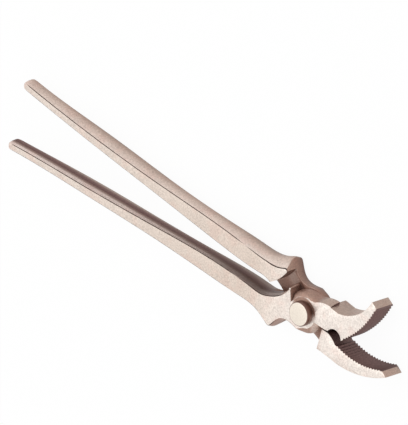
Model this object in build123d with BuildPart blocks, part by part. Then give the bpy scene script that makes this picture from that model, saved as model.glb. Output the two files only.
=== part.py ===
from build123d import *
import math
import os

os.makedirs("parts", exist_ok=True)

# A hoof clincher: two forged levers crossed in a half lap joint on one large headed rivet.
# All sizes are in millimetres and degrees.
# The tool lies on its back: Z is the rivet's axis, X points from the rivet to the jaws,
# and Z = 0 is the plane that the tool rests on.
# The rear lever has its handle on the +Y side, and it carries the lower jaw.
# The front lever is the same forging turned over, and it carries the upper jaw.

# Depth of the tool, from its back to its front
lever_depth = 15.0
lap_gap = 0.10

# Handles, from the middle of the tip back to the shoulder, at rest in the open pose
handle_reach = 239.5
handle_root_reach = 56.0
root_offset = 10.6
middle_offset = 14.2
tip_offset = 20.2
root_width = 12.8
middle_width = 8.1
tip_width = 5.8
waist_depth = 10.2
handle_depth = 11.4
tip_depth = 8.2
tip_round = 6.0
tip_margin = 0.7
depth_start_reach = 27.0
depth_waist_reach = 72.0
depth_middle_reach = 170.0
profile_end = 30.0

# The handles lie a little nearer the front than the middle of the boss does
handle_rise = 1.2
tip_rise = 2.1

# Forging draft: how far the sides lie inside the widest line at some depths below a face,
# and how far the round of the boss does, which is rounded off more
face_drafts = ((0, 1.5, 3.6), (1.8, 0.9, 0.7))

# On the lap side, the ear lies lower and nearer the jaws than on the outer side
ear_lap_sink = 3.0
ear_lap_shift = 2.4
edge_round = 0.5

# Shoulder, the ear that stands out behind the boss, and the scoop in front of it
shoulder_reach = 33.5
shoulder_swell = 0.7
shoulder_share = 0.4
ear_reach = 21.9
ear_height = 22.4
ear_rise = (3.0, 0.9)
ear_fall = (2.2, 2.4)
scoop_reach = 15.4
scoop_height = 14.6
scoop_draft = (0.5, 0.8)

# Boss around the rivet, with the angles where its round ends, and the neck to the jaw
boss_radius = 12.8
boss_swell = 0.6
boss_scoop_angle = 104
boss_neck_angle = -76
boss_notch_angle = -148
neck_inner_height = 1.2
neck_outer_reach = 9.2
neck_outer_height = 13.6
jaw_root_reach = 16.0
jaw_root_height = 15.5
jaw_overlap = 2.0
neck_end_gap = 0.4
jaw_tongue = 1.5
jaw_tip_round = 2.0

# Horn on the inner side of the boss, and the notch between them
horn_reach = 13.4
horn_height = 10.6
horn_width = 2.2
horn_slope = 1.0
notch_reach = 10.3
notch_height = 4.2
notch_draft = (0.1, 1.8)

# Hollow between the horn and the inner side of the handle
crook_low = (-20.2, -2.2)
crook_high = (-28.5, 3.0)
crook_draft = 0.6

# Directions in which the outline runs, as it is drawn from the handle round to the horn
along_outer_tip = (1, -0.1)
along_outer_root = (1, -0.02)
along_inner_root = (-1, 0.03)
along_inner_tip = (-1, 0.1)
down_horn = (-0.6, 1)

# Step from the full depth of the handle down to the lap face
step_tip = (-17.5, 19.5)
step_middle = (-22.6, 10.2)
step_heel = (-34.5, 1.5)

# Upper jaw, on the front lever
upper_heel = (31.0, -1.3)
upper_bite_middle = (42.2, 12.2)
upper_bite_tip = (49.4, 30.4)
upper_tip_back = (45.2, 32.6)
upper_back_middle = (37.4, 19.9)
upper_back_root = (24.0, 13.0)
upper_root_top = 13.7
throat_start = (20.0, -1.2)
throat_top = (25.0, 2.7)

# Lower jaw, on the rear lever
lower_root_top = -2.0
lower_root_foot = -15.0
lower_throat = (24.0, -3.2)
lower_root_end = 20.5
lower_heel = (27.6, -5.8)
lower_heel_slope = (0.8, -1)
lower_bite_middle = (45.0, -7.9)
lower_bite_tip = (64.8, -2.6)
lower_tip_back = (68.4, -4.8)
lower_back_middle = (52.5, -12.8)
lower_back_root = (33.0, -16.1)
lower_back_foot = (24.0, -15.4)

# Teeth cut across both jaws
tooth_pitch = 2.1
tooth_depth = 0.9
tooth_margin = 0.8

# Rivet
head_diameter = 14.8
head_height = 4.0
head_chamfer = 0.5
shank_diameter = 9.0
shank_gap = 0.05
seat_gap = 0.05
tail_diameter = 13.0
tail_depth = 2.4

half_depth = lever_depth / 2
lap_height = half_depth - lap_gap / 2


def between(root, middle, tip, share):
    """A smooth value that passes through root, middle and tip as share runs from 0 to 1."""
    bend = 2 * (root + tip - 2 * middle)
    return root + (tip - root - bend) * share + bend * share * share


def handle_edge(side, inset):
    """Points along one edge of the handle, from the shoulder to the tip."""
    points = []
    for step in range(4):
        share = step / 3
        reach = handle_root_reach + (handle_reach - tip_width / 2 - handle_root_reach) * share
        width = between(root_width, middle_width, tip_width, share)
        offset = between(root_offset, middle_offset, tip_offset, share)
        points.append((-reach, offset + side * (width / 2 - inset)))
    return points


def on_boss(angle, inset):
    """A point on the round of the boss."""
    radius = boss_radius - inset
    return (radius * math.cos(math.radians(angle)), radius * math.sin(math.radians(angle)))


def boss_heading(angle):
    """Direction of travel at that angle of the boss, going round it clockwise."""
    return (math.sin(math.radians(angle)), -math.cos(math.radians(angle)))


def boss_arc(start_angle, end_angle, start_inset, end_inset, boss_inset):
    """The round of the boss from one angle to the other, drawn in by boss_inset between them."""
    quarter_angle = (end_angle - start_angle) / 4
    points = [on_boss(start_angle, start_inset)]
    for quarter in (1, 2, 3):
        points.append(on_boss(start_angle + quarter * quarter_angle, boss_inset))
    points.append(on_boss(end_angle, end_inset))
    Spline(points, tangents=[boss_heading(start_angle), boss_heading(end_angle)])


def outer_side(outer, inset, lap_share):
    """Outer side of the forging, from the tip over the shoulder and ear to the boss."""
    ear_sink = ear_lap_sink * lap_share
    ear_top = (ear_lap_shift * lap_share - ear_reach, ear_height - inset - ear_sink)
    ear_start = (ear_top[0] - ear_rise[0], ear_top[1] - ear_rise[1])
    ear_end = (ear_top[0] + ear_fall[0], ear_top[1] - ear_fall[1])
    shoulder = (-shoulder_reach, outer[0][1] + shoulder_swell - ear_sink * shoulder_share)
    scoop = (-scoop_reach - inset * scoop_draft[0], scoop_height - inset * scoop_draft[1])
    Spline(outer[::-1], tangents=[along_outer_tip, along_outer_root])
    Spline(outer[0], shoulder, ear_start, ear_top, ear_end, scoop,
           on_boss(boss_scoop_angle, inset - boss_swell),
           tangents=[along_outer_root, boss_heading(boss_scoop_angle)])


def neck_side(inset, boss_inset):
    """Neck between the boss and the jaw, which it enters, and its flared lower side."""
    neck_angle = math.degrees(math.asin(neck_inner_height / (boss_radius - boss_inset)))
    boss_arc(boss_scoop_angle, neck_angle, inset - boss_swell, boss_inset, boss_inset)
    neck_end = jaw_root_reach - neck_end_gap
    inside_end = jaw_root_reach + jaw_overlap
    inside_height = lower_root_top - jaw_overlap / 2
    inside_foot = (inside_end, inset - jaw_root_height)
    Polyline(on_boss(neck_angle, boss_inset), (neck_end, neck_inner_height), (neck_end, inside_height))
    Polyline((neck_end, inside_height), (inside_end, inside_height), inside_foot)
    neck_outer = (neck_outer_reach, inset - neck_outer_height)
    boss_start = on_boss(boss_neck_angle, (inset + boss_inset) / 2)
    Spline(inside_foot, neck_outer, boss_start, tangents=[(-1, 0), boss_heading(boss_neck_angle)])


def inner_side(inner, inset, boss_inset):
    """Inner side of the forging, from the boss over the notch and horn to the tip."""
    boss_arc(boss_neck_angle, boss_notch_angle, (inset + boss_inset) / 2, boss_inset, boss_inset)
    notch = (-notch_reach - inset * notch_draft[0], inset * notch_draft[1] - notch_height)
    horn_tip = (-horn_reach, inset - horn_height)
    horn_half = (horn_width - inset) / 2
    horn_right = (horn_tip[0] + horn_half, horn_tip[1] + horn_slope)
    horn_left = (horn_tip[0] - horn_half, horn_tip[1] + horn_slope)
    Polyline(on_boss(boss_notch_angle, boss_inset), notch, horn_right)
    ThreePointArc(horn_right, horn_tip, horn_left)
    crook_start = (crook_low[0] + inset * crook_draft, crook_low[1] + inset)
    crook_end = (crook_high[0], crook_high[1] + inset)
    Spline(horn_left, crook_start, crook_end, inner[0], tangents=[down_horn, along_inner_root])
    Spline(inner, tangents=[along_inner_root, along_inner_tip])


def forging_outline(inset, boss_inset, lap_share):
    """Plan outline of the forging, drawn inside its widest line by inset, and more at the boss."""
    outer = handle_edge(1, inset)
    inner = handle_edge(-1, inset)
    ThreePointArc(inner[-1], (-handle_reach + inset, tip_offset), outer[-1])
    outer_side(outer, inset, lap_share)
    neck_side(inset, boss_inset)
    inner_side(inner, inset, boss_inset)


# Forging that both levers share: handle, shoulder, boss and neck, with its lap side in front
with BuildPart() as forging:
    outlines = [(depth, inset, boss_inset, 0) for depth, inset, boss_inset in face_drafts]
    outlines.append((half_depth, 0, 0, 0))
    for depth, inset, boss_inset in face_drafts[::-1]:
        outlines.append((lever_depth - depth, inset, boss_inset, 1 - depth / half_depth))
    for height, inset, boss_inset, lap_share in outlines:
        with BuildSketch(Plane.XY.offset(height)):
            with BuildLine():
                forging_outline(inset, boss_inset, lap_share)
            make_face()
    loft()


# Side profile that the handles taper in, with the tip rounded in this view too
with BuildPart() as side_profile:
    with BuildSketch(Plane.XZ):
        with BuildLine():
            middle = half_depth + handle_rise
            root_low = (-depth_start_reach, 0)
            root_high = (-depth_start_reach, lever_depth)
            waist_low = (-depth_waist_reach, middle - waist_depth / 2)
            waist_high = (-depth_waist_reach, middle + waist_depth / 2)
            middle_low = (-depth_middle_reach, middle - handle_depth / 2)
            middle_high = (-depth_middle_reach, middle + handle_depth / 2)
            tip_centre = (-handle_reach - tip_margin + tip_round, half_depth + tip_rise)
            tip_low = (tip_centre[0], tip_centre[1] - tip_depth / 2)
            tip_high = (tip_centre[0], tip_centre[1] + tip_depth / 2)
            Polyline(root_low, (profile_end, 0), (profile_end, lever_depth), root_high)
            Spline(root_high, waist_high, middle_high, tip_high, tangents=[(-1, 0), (-1, 0)])
            EllipticalCenterArc(tip_centre, tip_round, tip_depth / 2, start_angle=90, arc_size=180)
            Spline(tip_low, middle_low, waist_low, root_low, tangents=[(1, 0), (1, 0)])
        make_face()
    extrude(amount=2 * ear_height, both=True)

# Lap pocket: the half of the depth that is cut away from the step to the jaw
with BuildPart() as lap_pocket:
    with BuildSketch(Plane.XY.offset(lap_height)):
        with BuildLine():
            far_end = jaw_root_reach + 2 * jaw_overlap
            ThreePointArc(step_tip, step_middle, step_heel)
            Polyline(step_heel, (step_heel[0], -2 * ear_height), (far_end, -2 * ear_height))
            Polyline((far_end, -2 * ear_height), (far_end, 2 * ear_height), (0, 2 * ear_height), step_tip)
        make_face()
    extrude(amount=lever_depth)


def long_edge(edge):
    """Whether an edge of the blank runs along a handle."""
    return edge.length > handle_reach / 2


def tooth_points(start, middle, end):
    """Corner points of the teeth along an arc that runs from start over middle to end."""
    arc = ThreePointArc(start, middle, end, mode=Mode.PRIVATE)
    count = int((arc.length - 2 * tooth_margin) / tooth_pitch)
    margin = (arc.length - count * tooth_pitch) / 2
    points = [start]
    for tooth in range(count + 1):
        peak = (margin + tooth * tooth_pitch) / arc.length
        points.append(arc @ peak)
        if tooth < count:
            root = (margin + (tooth + 0.5) * tooth_pitch) / arc.length
            side = (arc % root).rotate(Axis.Z, 90)
            points.append(arc @ root + side * tooth_depth)
    points.append(end)
    return points


# Lower jaw, straight through the full depth
with BuildPart() as lower_jaw:
    with BuildSketch():
        with BuildLine():
            root_top = (jaw_root_reach, lower_root_top)
            root_foot = (jaw_root_reach, lower_root_foot)
            root_end = (lower_root_end, lower_root_top)
            Polyline(root_foot, root_top, root_end)
            Spline(root_end, lower_throat, lower_heel, tangents=[(1, 0), lower_heel_slope])
            Polyline(tooth_points(lower_heel, lower_bite_middle, lower_bite_tip))
            Line(lower_bite_tip, lower_tip_back)
            ThreePointArc(lower_tip_back, lower_back_middle, lower_back_root)
            Spline(lower_back_root, lower_back_foot, root_foot)
        make_face()
    extrude(amount=lever_depth)
    fillet(lower_jaw.edges().group_by(Axis.Z)[0].sort_by(Axis.X)[-1], radius=jaw_tip_round)
    with Locations((jaw_root_reach - jaw_tongue, lower_root_top, 0)):
        Box(2 * jaw_tongue, 2 * jaw_tongue, lap_height, align=(Align.MIN, Align.MAX, Align.MIN))

# Upper jaw, straight through the full depth
with BuildPart() as upper_jaw:
    with BuildSketch():
        with BuildLine():
            root_foot = (jaw_root_reach, throat_start[1])
            root_top = (jaw_root_reach, upper_root_top)
            Polyline(root_top, root_foot, throat_start)
            ThreePointArc(throat_start, throat_top, upper_heel)
            Polyline(tooth_points(upper_heel, upper_bite_middle, upper_bite_tip))
            Line(upper_bite_tip, upper_tip_back)
            ThreePointArc(upper_tip_back, upper_back_middle, upper_back_root)
            Line(upper_back_root, root_top)
        make_face()
    extrude(amount=lever_depth)
    fillet(upper_jaw.edges().group_by(Axis.Z)[0].sort_by(Axis.Y)[-1], radius=jaw_tip_round)
    with Locations((jaw_root_reach - jaw_tongue, throat_start[1], lever_depth)):
        Box(2 * jaw_tongue, 4 * jaw_tongue, lap_height, align=(Align.MIN, Align.MIN, Align.MAX))

# Rivet: a round head in front, a shank, and a tail that is peened flush at the back
with BuildPart() as pivot_rivet:
    with BuildSketch(Plane.XZ):
        with BuildLine():
            head_foot = lever_depth + seat_gap
            head_top = lever_depth + head_height
            chamfer_foot = (head_diameter / 2, head_top - head_chamfer)
            chamfer_top = (head_diameter / 2 - head_chamfer, head_top)
            Polyline((0, 0), (tail_diameter / 2, 0), (shank_diameter / 2, tail_depth))
            Polyline((shank_diameter / 2, tail_depth), (shank_diameter / 2, head_foot))
            Polyline((shank_diameter / 2, head_foot), (head_diameter / 2, head_foot), chamfer_foot)
            Polyline(chamfer_foot, chamfer_top, (0, head_top), (0, 0))
        make_face()
    revolve(axis=Axis.Z)

# Blank of the rear lever: the forging in its side profile, with the long edges broken
with BuildPart() as rear_blank:
    add(forging)
    add(side_profile, mode=Mode.INTERSECT)
    fillet(rear_blank.edges().filter_by(long_edge), radius=edge_round)

# Blank of the front lever: the same forging turned over
with BuildPart() as front_blank:
    with Locations(Location((0, 0, lever_depth), (180, 0, 0))):
        add(forging)
    add(side_profile, mode=Mode.INTERSECT)
    fillet(front_blank.edges().filter_by(long_edge), radius=edge_round)

# Rear lever: handle on the +Y side, half boss at the back, lower jaw
with BuildPart() as rear_lever:
    add(rear_blank)
    add(lap_pocket, mode=Mode.SUBTRACT)
    add(lower_jaw)
    add(pivot_rivet, mode=Mode.SUBTRACT)

# Front lever: half boss at the front, upper jaw
with BuildPart() as front_lever:
    add(front_blank)
    with Locations(Location((0, 0, lever_depth), (180, 0, 0))):
        add(lap_pocket, mode=Mode.SUBTRACT)
    add(upper_jaw)
    with Locations((0, 0, half_depth)):
        Cylinder(shank_diameter / 2 + shank_gap, lever_depth, mode=Mode.SUBTRACT)

rear_lever.part.label = "rear_lever"
front_lever.part.label = "front_lever"
pivot_rivet.part.label = "pivot_rivet"
export_step(rear_lever.part, "parts/rear_lever.step")
export_step(front_lever.part, "parts/front_lever.step")
export_step(pivot_rivet.part, "parts/pivot_rivet.step")
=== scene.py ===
"""Looks of a farrier's clincher: two plated forged levers on one large rivet.

Everything is in metres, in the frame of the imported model: X runs from the rivet to the jaws,
Z is the rivet's axis, and the tool lies on its back on the plane Z = 0.
"""

import logging
import math
from dataclasses import dataclass
from enum import Enum

import bmesh
import bpy
from mathutils import Matrix, Vector


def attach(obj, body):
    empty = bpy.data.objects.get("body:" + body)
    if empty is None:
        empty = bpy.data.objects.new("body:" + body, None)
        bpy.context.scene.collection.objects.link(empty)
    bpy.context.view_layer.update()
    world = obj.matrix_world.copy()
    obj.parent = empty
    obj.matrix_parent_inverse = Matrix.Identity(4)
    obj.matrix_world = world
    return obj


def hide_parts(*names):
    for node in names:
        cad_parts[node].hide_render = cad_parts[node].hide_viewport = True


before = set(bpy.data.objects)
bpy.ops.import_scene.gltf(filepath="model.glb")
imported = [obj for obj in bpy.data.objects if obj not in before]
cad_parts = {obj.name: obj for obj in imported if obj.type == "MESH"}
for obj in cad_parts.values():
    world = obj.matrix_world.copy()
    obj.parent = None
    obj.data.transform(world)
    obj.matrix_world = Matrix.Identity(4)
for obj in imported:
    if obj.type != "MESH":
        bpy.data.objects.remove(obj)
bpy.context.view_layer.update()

LOG = logging.getLogger("clincher")
MM = 0.001

Point = tuple[float, float, float]
Tone = tuple[int, int, int]
Stops = tuple[tuple[float, Tone], ...]
Linear = tuple[float, float, float, float]

WHITE: Linear = (1.0, 1.0, 1.0, 1.0)


def shade(red: int, green: int, blue: int) -> Linear:
    """Turn a screen colour into the linear colour that shaders use.

    Args:
        red: Red from 0 to 255.
        green: Green from 0 to 255.
        blue: Blue from 0 to 255.

    Returns:
        Linear red, green, blue and an alpha of 1.
    """
    linear = []
    for part in (red, green, blue):
        share = part / 255
        linear.append(share / 12.92 if share <= 0.04045 else ((share + 0.055) / 1.055) ** 2.4)
    return (linear[0], linear[1], linear[2], 1.0)


class Side(Enum):
    """Side of the tool that a lever's handle lies on."""

    REAR = 1.0
    FRONT = -1.0


class Board:
    """A node tree with short ways to add nodes, set their values and join them."""

    def __init__(self, tree: bpy.types.NodeTree) -> None:
        """Keep the tree that nodes are added to.

        Args:
            tree: Node tree of a material, a world or a group.
        """
        self.tree = tree

    def add(self, kind: str, **values: object) -> bpy.types.Node:
        """Add a node and set its own options.

        Args:
            kind: Type name of the node, without its ShaderNode start.
            **values: Options of the node, by their names.

        Returns:
            The new node.
        """
        node = self.tree.nodes.new("ShaderNode" + kind)
        for name, value in values.items():
            setattr(node, name, value)
        return node

    def feed(self, node: bpy.types.Node, name: str | int, source: object) -> None:
        """Give a node's input a value, or a link from another node's output.

        Args:
            node: Node that has the input.
            name: Name or number of the input.
            source: An output socket, or a plain value.
        """
        if isinstance(source, bpy.types.NodeSocket):
            self.tree.links.new(source, node.inputs[name])
        else:
            node.inputs[name].default_value = source

    def math(self, operation: str, first: object, second: object = 0.0) -> bpy.types.NodeSocket:
        """Add a Math node.

        Args:
            operation: Operation of the node.
            first: First value or socket.
            second: Second value or socket.

        Returns:
            The output socket.
        """
        node = self.add("Math", operation=operation)
        self.feed(node, 0, first)
        self.feed(node, 1, second)
        return node.outputs[0]

    def span(self, value: object, low: float, high: float, start: float = 0.0,
             end: float = 1.0) -> bpy.types.NodeSocket:
        """Map a value smoothly from one span to another.

        Args:
            value: Value or socket to map.
            low: Value that gives start.
            high: Value that gives end.
            start: Result at low.
            end: Result at high.

        Returns:
            The output socket.
        """
        node = self.add("MapRange", interpolation_type="SMOOTHSTEP")
        for name, part in (("Value", value), ("From Min", low), ("From Max", high),
                           ("To Min", start), ("To Max", end)):
            self.feed(node, name, part)
        return node.outputs[0]

    def below(self, value: object, low: float, high: float) -> bpy.types.NodeSocket:
        """Add a mask that falls smoothly from 1 at low to 0 at high.

        Args:
            value: Value or socket to test.
            low: Value up to which the mask is 1.
            high: Value from which the mask is 0.

        Returns:
            The output socket.
        """
        return self.span(value, low, high, 1.0, 0.0)

    def mix(self, share: object, first: object, second: object,
            blend: str = "MIX") -> bpy.types.NodeSocket:
        """Mix two colours.

        Args:
            share: Share of the second colour.
            first: First colour or socket.
            second: Second colour or socket.
            blend: Blend type.

        Returns:
            The output colour socket.
        """
        node = self.add("Mix", data_type="RGBA", blend_type=blend)
        self.feed(node, 0, share)
        self.feed(node, 6, first)
        self.feed(node, 7, second)
        return node.outputs[2]

    def split(self, source: bpy.types.NodeSocket) -> bpy.types.NodeOutputs:
        """Split a vector into its three parts.

        Args:
            source: Vector socket.

        Returns:
            The outputs X, Y and Z.
        """
        node = self.add("SeparateXYZ")
        self.feed(node, 0, source)
        return node.outputs

    def measure(self, operation: str, parts: tuple,
                other: Point = (0.0, 0.0, 0.0)) -> bpy.types.NodeSocket:
        """Measure the length of a vector, or how far a point lies from another.

        Args:
            operation: LENGTH or DISTANCE.
            parts: The three parts of the vector, each a value or a socket.
            other: The other point of a distance.

        Returns:
            The measured value.
        """
        vector = self.add("CombineXYZ")
        for number, part in enumerate(parts):
            self.feed(vector, number, part)
        node = self.add("VectorMath", operation=operation)
        self.feed(node, 0, vector.outputs[0])
        self.feed(node, 1, other)
        return node.outputs["Value"]

    def noise(self, place: bpy.types.NodeSocket, scale: float, detail: float) -> bpy.types.NodeSocket:
        """Add a Noise Texture node.

        Args:
            place: Coordinates that the noise reads.
            scale: Scale of the noise.
            detail: Its detail.

        Returns:
            The noise value.
        """
        node = self.add("TexNoise")
        self.feed(node, "Vector", place)
        self.feed(node, "Scale", scale)
        self.feed(node, "Detail", detail)
        return node.outputs[0]

    def put_out(self, results: dict[str, bpy.types.NodeSocket]) -> None:
        """Give a node group its outputs, each with the socket that feeds it.

        Args:
            results: Sockets by the names of their outputs.
        """
        result = self.tree.nodes.new("NodeGroupOutput")
        for name, socket in results.items():
            self.tree.interface.new_socket(name, in_out="OUTPUT", socket_type="NodeSocketFloat")
            self.tree.links.new(socket, result.inputs[name])


@dataclass(frozen=True)
class Grain:
    """Speckle, slow stains and a blush that all the steel finishes share.

    The group puts out a colour factor around 1, a height for a Bump node and the blush as a mask.
    """

    name: str = "steel_grain"
    fine_scale: float = 1100.0
    fine_detail: float = 3.0
    fine_height: float = 0.4
    cloud_scale: float = 70.0
    cloud_detail: float = 4.0
    blush_scale: float = 120.0
    blush_detail: float = 3.0
    blush_from: float = 0.45
    blush_to: float = 0.62
    streak_stretch: Point = (90.0, 900.0, 900.0)
    streak_detail: float = 2.0
    noise_middle: float = 0.5

    def group(self) -> bpy.types.NodeTree:
        """Build the group once, or find it.

        Returns:
            The node group.
        """
        found = bpy.data.node_groups.get(self.name)
        if found:
            return found
        tree = bpy.data.node_groups.new(self.name, "ShaderNodeTree")
        for name in ("Speckle", "Clouds"):
            tree.interface.new_socket(name, in_out="INPUT", socket_type="NodeSocketFloat")
        board = Board(tree)
        given = tree.nodes.new("NodeGroupInput").outputs
        place = board.add("TexCoord").outputs["Object"]
        fine = board.noise(place, self.fine_scale, self.fine_detail)
        clouds = board.noise(place, self.cloud_scale, self.cloud_detail)
        blush = board.noise(place, self.blush_scale, self.blush_detail)
        stretch = board.add("Mapping")
        board.feed(stretch, "Vector", place)
        board.feed(stretch, "Scale", self.streak_stretch)
        streaks = board.noise(stretch.outputs[0], 1.0, self.streak_detail)
        speckle = board.math("MULTIPLY", board.math("SUBTRACT", fine, self.noise_middle), given["Speckle"])
        stain = board.math("MULTIPLY", board.math("SUBTRACT", clouds, self.noise_middle), given["Clouds"])
        board.put_out({
            "Factor": board.math("ADD", board.math("ADD", speckle, stain), 1.0),
            "Height": board.math("ADD", board.math("MULTIPLY", fine, self.fine_height), streaks),
            "Blush": board.span(blush, self.blush_from, self.blush_to),
        })
        return tree


@dataclass(frozen=True)
class Section:
    """Masks that follow the section of a forging: its ground faces, rims, lap face and sides, and the
    places where shade, shadow and reflection are painted.

    A level is the size of a normal's part along the rivet's axis: 1 on a flat face, 0 on a side.
    """

    name: str = "forging_section"
    lap_height: float = 7.5 * MM
    lap_band: float = 0.35 * MM
    lap_blur: float = 1.2
    flat_from: float = 0.955
    flat_to: float = 0.99
    # Mask of the rounded long edges that get a painted dark reflection.
    rim_from: float = 0.36
    rim_to: float = 0.48
    rim_depth: float = 0.7 * MM
    rim_blur: float = 0.2 * MM
    rim_reach: float = -20.0 * MM
    rim_end: float = -16.0 * MM
    inner_from: float = 0.1
    inner_to: float = 0.5
    # Painted shade on the sides around the boss, from behind the ear up to the neck.
    ear_reach: float = -21.0 * MM
    ear_blur: float = 4.0 * MM
    jaw_facing_from: float = -0.05
    jaw_facing_to: float = 0.45
    neck_reach: float = 9.0 * MM
    neck_blur: float = 2.0 * MM
    # Painted shade in the throat between the jaws.
    throat: Point = (24.5 * MM, -0.5 * MM, 7.5 * MM)
    throat_radius: float = 5.0 * MM
    throat_blur: float = 2.0 * MM
    handle_reach: float = -61.0 * MM
    handle_end: float = -51.0 * MM
    # Painted shade that deepens towards the fork between the handles.
    crotch_reach: float = -150.0 * MM
    crotch_end: float = -30.0 * MM
    tip_reach: float = -240.0 * MM
    tip_round: float = 3.5 * MM
    tip_blur: float = 3.0 * MM
    jaw_reach: float = 65.0 * MM
    # Painted shadow of the rivet head, on the boss on one side of the head.
    ring_radius: float = 9.0 * MM
    ring_blur: float = 0.8 * MM
    ring_side: float = 0.5 * MM
    ring_side_end: float = 4.0 * MM

    def group(self) -> bpy.types.NodeTree:
        """Build the group once, or find it.

        Returns:
            The node group, with one output for each mask.
        """
        found = bpy.data.node_groups.get(self.name)
        if found:
            return found
        tree = bpy.data.node_groups.new(self.name, "ShaderNodeTree")
        tree.interface.new_socket("Side", in_out="INPUT", socket_type="NodeSocketFloat")
        board = Board(tree)
        side = tree.nodes.new("NodeGroupInput").outputs["Side"]
        coords = board.add("TexCoord")
        normal = board.split(coords.outputs["Normal"])
        along, across, height = board.split(coords.outputs["Object"])
        level = board.math("ABSOLUTE", normal[2])
        flat = board.span(level, self.flat_from, self.flat_to)
        off_lap = board.math("ABSOLUTE", board.math("SUBTRACT", height, self.lap_height))
        near_lap = board.below(off_lap, self.lap_band, self.lap_blur * self.lap_band)
        inward = board.math("MULTIPLY", board.math("MULTIPLY", normal[1], side), -1.0)
        before_neck = board.below(along, self.neck_reach - self.neck_blur, self.neck_reach + self.neck_blur)
        past_ear = board.span(along, self.ear_reach, self.ear_reach + self.ear_blur)
        facing_jaws = board.span(normal[0], self.jaw_facing_from, self.jaw_facing_to)
        # Sides around the boss that get painted shade.
        hub_shade = board.math("MAXIMUM", past_ear, facing_jaws)
        throat = board.measure("DISTANCE", (along, across, self.throat[2]), self.throat)
        off_axis = board.measure("LENGTH", (along, across, 0.0))
        # Painted shadow of the rivet head.
        ring_shadow = board.below(off_axis, self.ring_radius, self.ring_radius + self.ring_blur)
        board.put_out({
            "Ground": flat,
            # Painted dark reflection on the rounded edges.
            "RimShade": self.rim_shade(board, along, level, flat, off_lap),
            # Lap faces: their duller unpolished finish plus painted shade where they lie under the other
            # lever.
            "Lap": board.math("MULTIPLY", near_lap, flat),
            "Height": board.math("DIVIDE", height, 2 * self.lap_height),
            "Inner": board.span(inward, self.inner_from, self.inner_to),
            "HubShade": board.math("MULTIPLY", hub_shade, before_neck),
            # Sides past the neck, where a lighter painted shade goes.
            "NeckShade": board.math("SUBTRACT", 1.0, before_neck),
            # Painted shade near the fork of the handles.
            "CrotchShade": board.span(along, self.crotch_reach, self.crotch_end),
            "Along": board.span(along, self.tip_reach, self.jaw_reach),
            "RingShadow": board.math("MULTIPLY", ring_shadow, board.span(across, self.ring_side, self.ring_side_end)),
            # Painted shade in the throat between the jaws.
            "ThroatShade": board.below(throat, self.throat_radius, self.throat_radius + self.throat_blur),
        })
        return tree

    def rim_shade(self, board: Board, along: bpy.types.NodeSocket, level: bpy.types.NodeSocket,
            flat: bpy.types.NodeSocket, off_lap: bpy.types.NodeSocket) -> bpy.types.NodeSocket:
        """Mask the rounded long edges that get a painted dark reflection, short of the handle tips and of
        the boss.

        Args:
            board: Node tree of the group.
            along: How far a point lies along the tool.
            level: Level of its normal.
            flat: Mask of the ground faces.
            off_lap: Distance from the lap plane.

        Returns:
            The mask.
        """
        on_handle = board.below(along, self.handle_reach, self.handle_end)
        off_tip = board.span(along, self.tip_reach + self.tip_round,
                             self.tip_reach + self.tip_round + self.tip_blur)
        on_handle = board.math("MULTIPLY", on_handle, off_tip)
        near_face = board.span(off_lap, self.lap_height - self.rim_depth,
                               self.lap_height - self.rim_depth + self.rim_blur)
        near_face = board.math("MULTIPLY", near_face, board.below(along, self.rim_reach, self.rim_end))
        slanted = board.math("MULTIPLY", board.span(level, self.rim_from, self.rim_to),
                             board.math("SUBTRACT", 1.0, flat))
        return board.math("MULTIPLY", slanted, board.math("MAXIMUM", on_handle, near_face))


@dataclass(frozen=True)
class Skin:
    """Grain, blush and bump that a steel finish lays over its colour."""

    speckle: float
    clouds: float
    metallic: float = 0.75
    blush_share: float = 0.0
    blush: Linear = (1.0, 0.92, 0.91, 1.0)
    bump_strength: float = 0.12
    bump_distance: float = 0.05 * MM

    def cover(self, board: Board, shader: bpy.types.Node, colour: object, roughness: object) -> None:
        """Lay the grain over a colour and feed a material's shader.

        Args:
            board: Node tree of the material.
            shader: Its Principled BSDF.
            colour: Colour or socket of the bare finish.
            roughness: Roughness or socket.
        """
        grain = board.add("Group", node_tree=Grain().group())
        board.feed(grain, "Speckle", self.speckle)
        board.feed(grain, "Clouds", self.clouds)
        if self.blush_share:
            share = board.math("MULTIPLY", grain.outputs["Blush"], self.blush_share)
            colour = board.mix(share, colour, board.mix(1.0, colour, self.blush, "MULTIPLY"))
        tint = board.add("CombineColor")
        for part in range(3):
            board.feed(tint, part, grain.outputs["Factor"])
        board.feed(shader, "Base Color", board.mix(1.0, colour, tint.outputs[0], "MULTIPLY"))
        board.feed(shader, "Metallic", self.metallic)
        board.feed(shader, "Roughness", roughness)
        bump = board.add("Bump")
        board.feed(bump, "Strength", self.bump_strength)
        board.feed(bump, "Distance", self.bump_distance)
        board.feed(bump, "Height", grain.outputs["Height"])
        board.feed(shader, "Normal", bump.outputs[0])


def new_material(name: str) -> tuple[bpy.types.Material, Board, bpy.types.Node]:
    """Make a material with its node tree.

    Args:
        name: Name of the material.

    Returns:
        The material, its board and its Principled BSDF.
    """
    material = bpy.data.materials.new(name)
    material.use_nodes = True
    return material, Board(material.node_tree), material.node_tree.nodes["Principled BSDF"]


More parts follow.
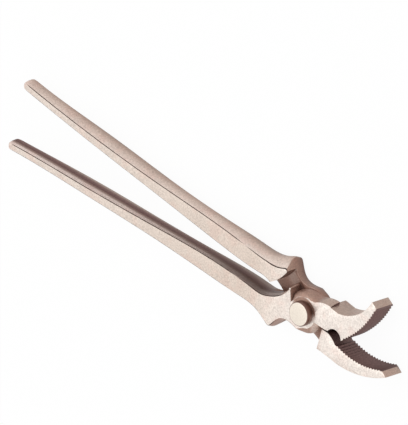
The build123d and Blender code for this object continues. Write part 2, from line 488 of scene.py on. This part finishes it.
@dataclass(frozen=True)
class LeverFinish:
    """Plated forging: bright ground faces, with painted shade on its browner sides and a painted dark
    reflection along the rounded edges.

    The ground tones run from the handle tips to the jaws. The side tones are painted shade that runs from
    the back of the tool to its front, as shares of its depth; on the side that faces the other lever they
    also hold a painted dark reflection band and a painted highlight strip.
    """

    name: str
    side: Side
    ground: Stops = ((0.0, (228, 214, 203)), (0.72, (224, 208, 195)), (0.85, (243, 232, 223)))
    # Side away from the other lever: painted shade, darker towards the back of the tool.
    outer_shading: Stops = ((0.0, (124, 100, 88)), (0.35, (176, 152, 138)), (0.7, (218, 198, 186)),
                    (1.0, (238, 222, 212)))
    # Side facing the other lever: painted shade with a painted dark reflection band and a painted highlight
    # strip.
    inner_shading: Stops = ((0.0, (150, 130, 118)), (0.3, (168, 148, 136)), (0.45, (120, 88, 82)),
                    (0.62, (104, 72, 68)), (0.72, (150, 126, 116)), (0.80, (222, 204, 196)),
                    (0.92, (232, 216, 208)), (1.0, (200, 182, 172)))
    # Painted shade on the sides around the boss, darker towards the back.
    hub_shade: Stops = ((0.0, (112, 84, 74)), (0.25, (140, 110, 97)), (0.5, (156, 124, 110)),
                  (1.0, (172, 142, 128)))
    # Painted shade on the side facing the other lever, deepest near the fork of the handles.
    crotch_shade: Tone = (92, 70, 62)
    crotch_shade_share: float = 0.55
    # Painted shadow of the rivet head on the boss.
    ring_shadow: Tone = (158, 128, 114)
    # Lighter painted shade on the sides of the neck and jaws.
    neck: Tone = (186, 163, 150)
    # Painted shade in the throat between the jaws.
    throat: Tone = (78, 62, 54)
    # Painted dark reflection on the rounded long edges.
    rim_shade: Tone = (56, 38, 32)
    # Lap faces: their duller unpolished finish plus painted shade where they lie under the other lever.
    lap: Tone = (134, 103, 90)
    skin: Skin = Skin(speckle=0.85, clouds=0.2, blush_share=0.6)
    ground_roughness: float = 0.34
    side_roughness: float = 0.46

    def ramp(self, board: Board, place: bpy.types.NodeSocket, stops: Stops) -> bpy.types.NodeSocket:
        """Add a colour ramp.

        Args:
            board: Node tree to add to.
            place: Socket that the ramp reads.
            stops: Pairs of a share and a screen colour.

        Returns:
            The colour socket.
        """
        node = board.add("ValToRGB")
        board.feed(node, 0, place)
        elements = node.color_ramp.elements
        for number, (share, tone) in enumerate(stops):
            element = elements[number] if number < 2 else elements.new(share)
            element.position = share
            element.color = shade(*tone)
        return node.outputs[0]

    def colour(self, board: Board) -> tuple[bpy.types.NodeSocket, bpy.types.NodeSocket]:
        """Mix the tones of the forging by where they lie; most of them are painted shade, shadow and
        reflection.

        Args:
            board: Node tree of the material.

        Returns:
            The colour, and the mask of the ground faces.
        """
        section = board.add("Group", node_tree=Section().group())
        board.feed(section, "Side", self.side.value)
        masks = section.outputs
        # Side tones: painted shade graded from the back of the tool to its front.
        outer_shading = self.ramp(board, masks["Height"], self.outer_shading)
        inner_shading = self.ramp(board, masks["Height"], self.inner_shading)
        # Painted shade near the fork of the handles.
        crotch_darkening = board.math("MULTIPLY", masks["CrotchShade"], self.crotch_shade_share)
        inner_shading = board.mix(crotch_darkening, inner_shading, shade(*self.crotch_shade))
        colour = board.mix(masks["Inner"], outer_shading, inner_shading)
        # Painted shade on the sides around the boss, darker towards the back.
        for name, tone in (("HubShade", self.ramp(board, masks["Height"], self.hub_shade)),
                           # Lighter painted shade on the sides of the neck and jaws.
                           ("NeckShade", shade(*self.neck)),
                           # Painted shade in the throat between the jaws.
                           ("ThroatShade", shade(*self.throat)),
                           # Painted dark reflection on the rounded long edges.
                           ("RimShade", shade(*self.rim_shade)),
                           ("Ground", self.ramp(board, masks["Along"], self.ground)),
                           # Painted shadow of the rivet head on the boss.
                           ("RingShadow", shade(*self.ring_shadow)),
                           # Lap faces: their duller unpolished finish plus painted shade where they lie
                           # under the other lever.
                           ("Lap", shade(*self.lap))):
            colour = board.mix(masks[name], colour, tone)
        return colour, masks["Ground"]

    def material(self) -> bpy.types.Material:
        """Build the material.

        Returns:
            The finished material.
        """
        material, board, shader = new_material(self.name)
        colour, flat = self.colour(board)
        rough = board.span(flat, 0.0, 1.0, self.side_roughness, self.ground_roughness)
        self.skin.cover(board, shader, colour, rough)
        return material


@dataclass(frozen=True)
class PlainFinish:
    """Steel of one tone with the shared grain, for the rivet and the cut teeth, with painted shade on steep
    sides and flanks where given.
    """

    name: str
    tone: Tone
    skin: Skin = Skin(speckle=0.35, clouds=0.12)
    roughness: float = 0.35
    # Painted shade on steep sides.
    side_shade: Tone | None = None
    side_from: float = 0.90
    side_to: float = 0.99
    # Lighter painted shade on faces that turn towards +X.
    flank_shade: Tone | None = None
    flank_facing: float = 0.4

    def material(self) -> bpy.types.Material:
        """Build the material.

        Returns:
            The finished material.
        """
        material, board, shader = new_material(self.name)
        tone: object = shade(*self.tone)
        normal = board.split(board.add("TexCoord").outputs["Normal"])
        # Painted shade on steep sides.
        if self.side_shade:
            level = board.math("ABSOLUTE", normal[2])
            tone = board.mix(board.below(level, self.side_from, self.side_to), tone, shade(*self.side_shade))
        # Lighter painted shade on faces that turn towards +X.
        if self.flank_shade:
            facing = board.span(normal[0], 0.0, self.flank_facing)
            tone = board.mix(facing, tone, shade(*self.flank_shade))
        self.skin.cover(board, shader, tone, self.roughness)
        return material


@dataclass
class Forging:
    """A CAD piece copied with its edges eased, ready for its finish."""

    node: str
    body: str
    slot: str
    ease: float = 0.3 * MM
    ease_steps: int = 2
    sharp: float = math.radians(28)
    merge: float = 0.002 * MM
    flat_angle: float = math.radians(0.4)

    def build(self) -> bpy.types.Object:
        """Copy the CAD piece, merge its triangles and round its sharp edges.

        Returns:
            The new object, riding on its body in place of the CAD piece.
        """
        mesh = bpy.data.meshes.new(self.node + "_dressed")
        shape = bmesh.new()
        shape.from_mesh(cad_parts[self.node].data)
        bmesh.ops.remove_doubles(shape, verts=shape.verts, dist=self.merge)
        bmesh.ops.dissolve_limit(shape, angle_limit=self.flat_angle, verts=shape.verts, edges=shape.edges)
        edges = [edge for edge in shape.edges if edge.is_manifold and edge.calc_face_angle() > self.sharp]
        bmesh.ops.bevel(shape, geom=edges, offset=self.ease, offset_type="OFFSET",
                        segments=self.ease_steps, profile=0.5, affect="EDGES",
                        clamp_overlap=True, material=-1)
        for face in shape.faces:
            face.smooth = True
        shape.to_mesh(mesh)
        shape.free()
        piece = bpy.data.objects.new(self.node + "_dressed", mesh)
        bpy.context.scene.collection.objects.link(piece)
        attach(piece, self.body)
        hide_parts(self.node)
        return piece


@dataclass
class Lever(Forging):
    """One lever: handle, boss, neck and toothed jaw in one forging."""

    side: Side = Side.REAR
    jaw_start: float = 16.5 * MM
    side_level: float = 0.35
    lower_facing: float = 0.1
    lower_end: float = 66.0 * MM
    upper_facing: float = 0.25
    upper_end: float = 30.5 * MM
    root_facing: float = -0.3
    root_end: float = 3.0 * MM

    def dress(self, piece: bpy.types.Object) -> None:
        """Give the forging its finish, and the toothed side of its jaw a darker painted shade.

        Args:
            piece: The lever's object.
        """
        piece.data.materials.clear()
        piece.data.materials.append(LeverFinish(self.node + "_plating", self.side).material())
        piece.data.materials.append(self.teeth().material())
        for face in piece.data.polygons:
            steep = abs(face.normal.z) < self.side_level
            if steep and face.center.x > self.jaw_start and self.toothed(face.center, face.normal):
                face.material_index = 1

    def teeth(self) -> PlainFinish:
        """Finish of the cut teeth and of the side they are cut in, in painted shade."""
        # Dark painted shade on the teeth, lighter painted shade on the flanks that face the jaw's end.
        return PlainFinish(self.node + "_shaded_teeth", (84, 58, 54), roughness=0.5, flank_shade=(118, 90, 86),
                           skin=Skin(speckle=0.9, clouds=0.12, metallic=0.6))

    def toothed(self, centre: Vector, normal: Vector) -> bool:
        """Tell whether a face of the jaw belongs to its biting side.

        Args:
            centre: Centre of the face.
            normal: Its normal.

        Returns:
            True where teeth are cut.
        """
        if self.side is Side.REAR:
            return normal.y > self.lower_facing and centre.x < self.lower_end
        biting = normal.x > self.upper_facing and centre.y < self.upper_end
        return biting or (normal.y < self.root_facing and centre.y < self.root_end)


@dataclass
class Rivet(Forging):
    """The large headed rivet that both levers turn on."""

    face_tone: Tone = (243, 232, 218)
    # Painted shade and reflection on the side of the head.
    side_shade: Tone = (118, 88, 78)

    def dress(self, piece: bpy.types.Object) -> None:
        """Give the rivet its finish.

        Args:
            piece: The rivet's object.
        """
        finish = PlainFinish("rivet_plating", self.face_tone, side_shade=self.side_shade)
        piece.data.materials.clear()
        piece.data.materials.append(finish.material())


@dataclass(frozen=True)
class Lamp:
    """A square soft lamp: where it hangs, the side of its square and its power in watts."""

    name: str
    place: Point
    size: float
    power: float


@dataclass
class Studio:
    """Pale floor, plain lamps and the camera at the photograph's angle."""

    lens: float = 1200.0
    sensor_width: float = 36.0
    view_end: float = 100.0
    reach: float = 243.0 * MM
    target: Point = (-67.0 * MM, 36.1 * MM, 41.4 * MM)
    towards: Point = (0.5304, 0.4677, 0.7071)
    upwards: Point = (-0.4773, 0.8541, -0.2068)
    floor_size: float = 3.0
    floor_drop: float = 0.2 * MM
    floor_colour: Linear = (0.86, 0.86, 0.86, 1.0)
    floor_roughness: float = 0.9
    floor_whiteness: float = 0.92
    floor_glow: float = 1.02
    sky_light: float = 0.7
    lamp_aim: Point = (-0.06, 0.0, 0.0)
    lamps: tuple[Lamp, ...] = (
        Lamp("key_lamp", (-0.5, 0.2, 1.1), 0.9, 2.2),
        Lamp("fill_lamp", (0.8, -0.6, 0.9), 0.7, 1.0),
    )

    def build(self) -> None:
        """Make the floor, the world, the lamps and the camera."""
        self.floor()
        self.world()
        for lamp in self.lamps:
            self.hang(lamp)
        self.camera()

    def floor(self) -> None:
        """Make a pale floor that keeps the object's shadow."""
        shape = bmesh.new()
        bmesh.ops.create_grid(shape, x_segments=1, y_segments=1, size=self.floor_size)
        bmesh.ops.translate(shape, verts=shape.verts, vec=(0, 0, -self.floor_drop))
        mesh = bpy.data.meshes.new("floor")
        shape.to_mesh(mesh)
        shape.free()
        plane = bpy.data.objects.new("floor", mesh)
        bpy.context.scene.collection.objects.link(plane)
        material, board, matt = new_material("pale_floor")
        board.feed(matt, "Base Color", self.floor_colour)
        board.feed(matt, "Roughness", self.floor_roughness)
        glow = board.add("Emission")
        board.feed(glow, "Color", WHITE)
        board.feed(glow, "Strength", self.floor_glow)
        blend = board.add("MixShader")
        board.feed(blend, 0, board.math("MULTIPLY", self.seen(board), self.floor_whiteness))
        board.feed(blend, 1, matt.outputs[0])
        board.feed(blend, 2, glow.outputs[0])
        board.feed(material.node_tree.nodes["Material Output"], 0, blend.outputs[0])
        mesh.materials.append(material)

    def seen(self, board: Board) -> bpy.types.NodeSocket:
        """Tell where the background is seen straight on, in gloss or through glass.

        Args:
            board: Node tree to add to.

        Returns:
            A socket that is 1 for those rays.
        """
        path = board.add("LightPath")
        seen = board.math("MAXIMUM", path.outputs["Is Camera Ray"], path.outputs["Is Glossy Ray"])
        return board.math("MAXIMUM", seen, path.outputs["Is Transmission Ray"])

    def world(self) -> None:
        """Light the scene evenly, with white where the background is seen."""
        world = bpy.data.worlds.new("studio")
        bpy.context.scene.world = world
        world.use_nodes = True
        board = Board(world.node_tree)
        sky = world.node_tree.nodes["Background"]
        board.feed(sky, "Color", WHITE)
        board.feed(sky, "Strength", board.span(self.seen(board), 0.0, 1.0, self.sky_light, 1.0))

    def hang(self, lamp: Lamp) -> None:
        """Hang a lamp that points at the tool.

        Args:
            lamp: The lamp.
        """
        light = bpy.data.lights.new(lamp.name, "AREA")
        light.size = lamp.size
        light.energy = lamp.power
        hung = bpy.data.objects.new(lamp.name, light)
        hung.location = lamp.place
        aim = Vector(lamp.place) - Vector(self.lamp_aim)
        hung.rotation_euler = aim.to_track_quat("Z", "Y").to_euler()
        bpy.context.scene.collection.objects.link(hung)

    def camera(self) -> None:
        """Set the camera far back, as the photograph has next to no perspective."""
        data = bpy.data.cameras.new("camera")
        data.lens = self.lens
        data.sensor_width = self.sensor_width
        data.clip_end = self.view_end
        camera = bpy.data.objects.new("camera", data)
        back = Vector(self.towards).normalized()
        right = Vector(self.upwards).cross(back).normalized()
        up = back.cross(right)
        distance = self.reach * self.lens / self.sensor_width
        turn = Matrix((right, up, back)).transposed().to_4x4()
        camera.matrix_world = Matrix.Translation(Vector(self.target) + back * distance) @ turn
        bpy.context.scene.collection.objects.link(camera)
        bpy.context.scene.camera = camera


def main() -> None:
    """Build and dress every piece, then set up the studio."""
    logging.basicConfig(level=logging.INFO)
    bpy.context.scene.view_settings.view_transform = "Standard"
    parts = (
        Lever("rear_lever", "rear_half", "lever_steel", side=Side.REAR),
        Lever("front_lever", "front_half", "lever_steel", side=Side.FRONT),
        Rivet("pivot_rivet", "rear_half", "rivet_steel"),
    )
    for part in parts:
        piece = part.build()
        part.dress(piece)
        LOG.info("%s: %d faces", piece.name, len(piece.data.polygons))
    Studio().build()


if __name__ == "__main__":
    main()
